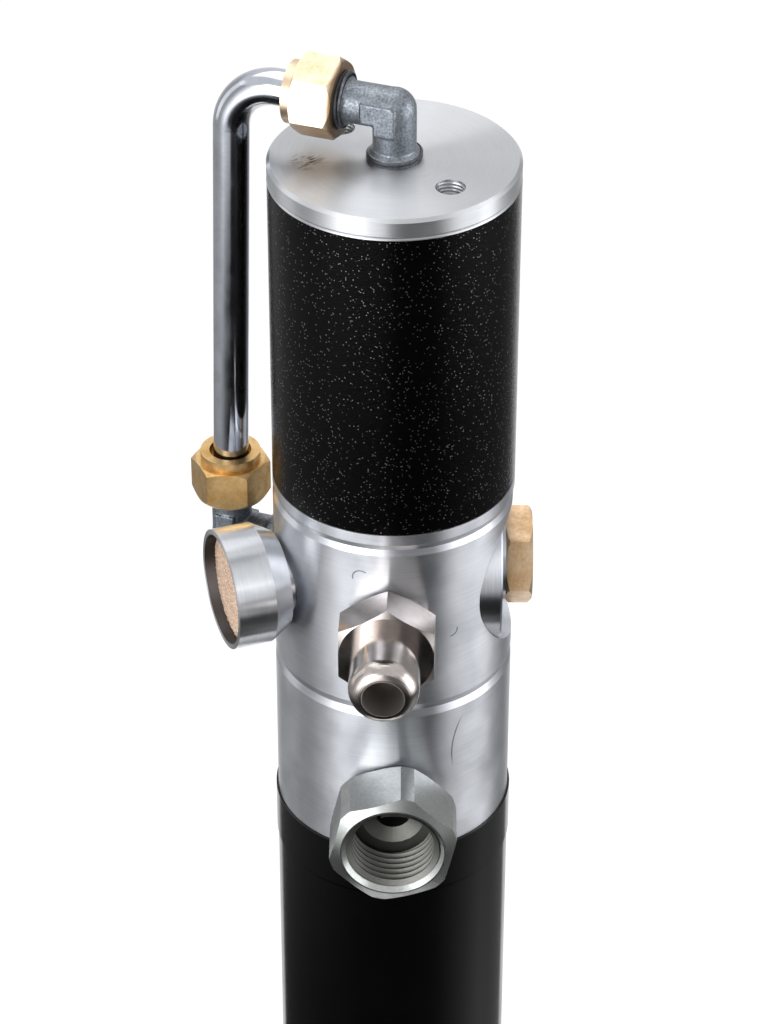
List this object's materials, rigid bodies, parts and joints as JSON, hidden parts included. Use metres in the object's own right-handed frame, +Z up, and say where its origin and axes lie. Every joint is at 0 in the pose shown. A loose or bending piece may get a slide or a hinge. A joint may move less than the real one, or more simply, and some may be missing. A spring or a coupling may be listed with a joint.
{
  "type": "air operated drum pump",
  "caption": "Air operated piston pump for drums: round air motor and valve body with a bypass pipe over a long suction tube with a foot valve and strainer.",
  "frame": {"origin": "on the pump axis at the point of the suction tube that the drum's bung grips, 60 mm below the collar", "axes": "+Z up the pump axis to the cap, -Y out of the outlet, which is the front, +X out of the side plug"},
  "size_m": [0.0772, 0.0791, 1.1094],
  "materials": {
    "turned_aluminium": "turned",
    "black_textured_coat": "textured powder coat",
    "black_satin_coat": "satin coat",
    "zinc_steel": "zinc plated forging",
    "brass": "machined",
    "pipe_steel": "polished tube",
    "nickel_plate": "nickel plated",
    "outlet_steel": "machined",
    "sintered_bronze": "sintered grains",
    "bush_bronze": "machined",
    "black_rubber": "moulded",
    "seal_rubber": "moulded",
    "guide_plastic": "filled guide plastic",
    "piston_aluminium": "machined",
    "rod_steel": "ground and chromed",
    "stainless_steel": "machined"
  },
  "bodies": {
    "pump": {"top_cap": "turned_aluminium", "bore_orings": "black_rubber", "bumpers": "black_rubber", "air_cylinder": "black_textured_coat", "valve_body": "turned_aluminium", "rod_bushes": "bush_bronze", "rod_seals": "seal_rubber", "valve_housing": "turned_aluminium", "plug_washer": "turned_aluminium", "side_plug": "brass", "inlet_nipple": "nickel_plate", "muffler_cup": "turned_aluminium", "muffler_disc": "sintered_bronze", "outlet_body": "turned_aluminium", "joint_oring": "black_rubber", "outlet_fitting": "outlet_steel", "collar": "black_satin_coat", "tube_gasket": "seal_rubber", "suction_tube": "black_satin_coat", "upper_elbow": "zinc_steel", "lower_elbow": "zinc_steel", "upper_nut": "brass", "lower_nut": "brass", "ferrules": "brass", "bypass_pipe": "pipe_steel", "foot_body": "stainless_steel", "stop_pin": "rod_steel", "strainer": "stainless_steel"},
    "rod": {"piston_rod": "rod_steel", "air_piston": "piston_aluminium", "rod_nut": "rod_steel", "air_piston_rings": "black_rubber", "air_piston_band": "guide_plastic", "pump_piston": "stainless_steel", "piston_yoke": "stainless_steel", "pump_piston_rings": "guide_plastic"},
    "piston_check": {"piston_ball": "rod_steel"},
    "foot_check": {"foot_ball": "rod_steel"},
    "valve": {"shuttle": "piston_aluminium", "shuttle_oring": "black_rubber"}
  },
  "joints": [
    {"name": "rod_slide", "type": "slide", "parent": "pump", "child": "rod", "axis": [0, 0, 1], "range_m": [0, 0.0404]},
    {"name": "piston_check_lift", "type": "slide", "parent": "rod", "child": "piston_check", "axis": [0, 0, 1], "range_m": [0, 0.005]},
    {"name": "foot_check_lift", "type": "slide", "parent": "pump", "child": "foot_check", "axis": [0, 0, 1], "range_m": [0, 0.006]},
    {"name": "shuttle_slide", "type": "slide", "parent": "pump", "child": "valve", "axis": [1, 0, 0], "range_m": [0, 0.0022]}
  ]
}
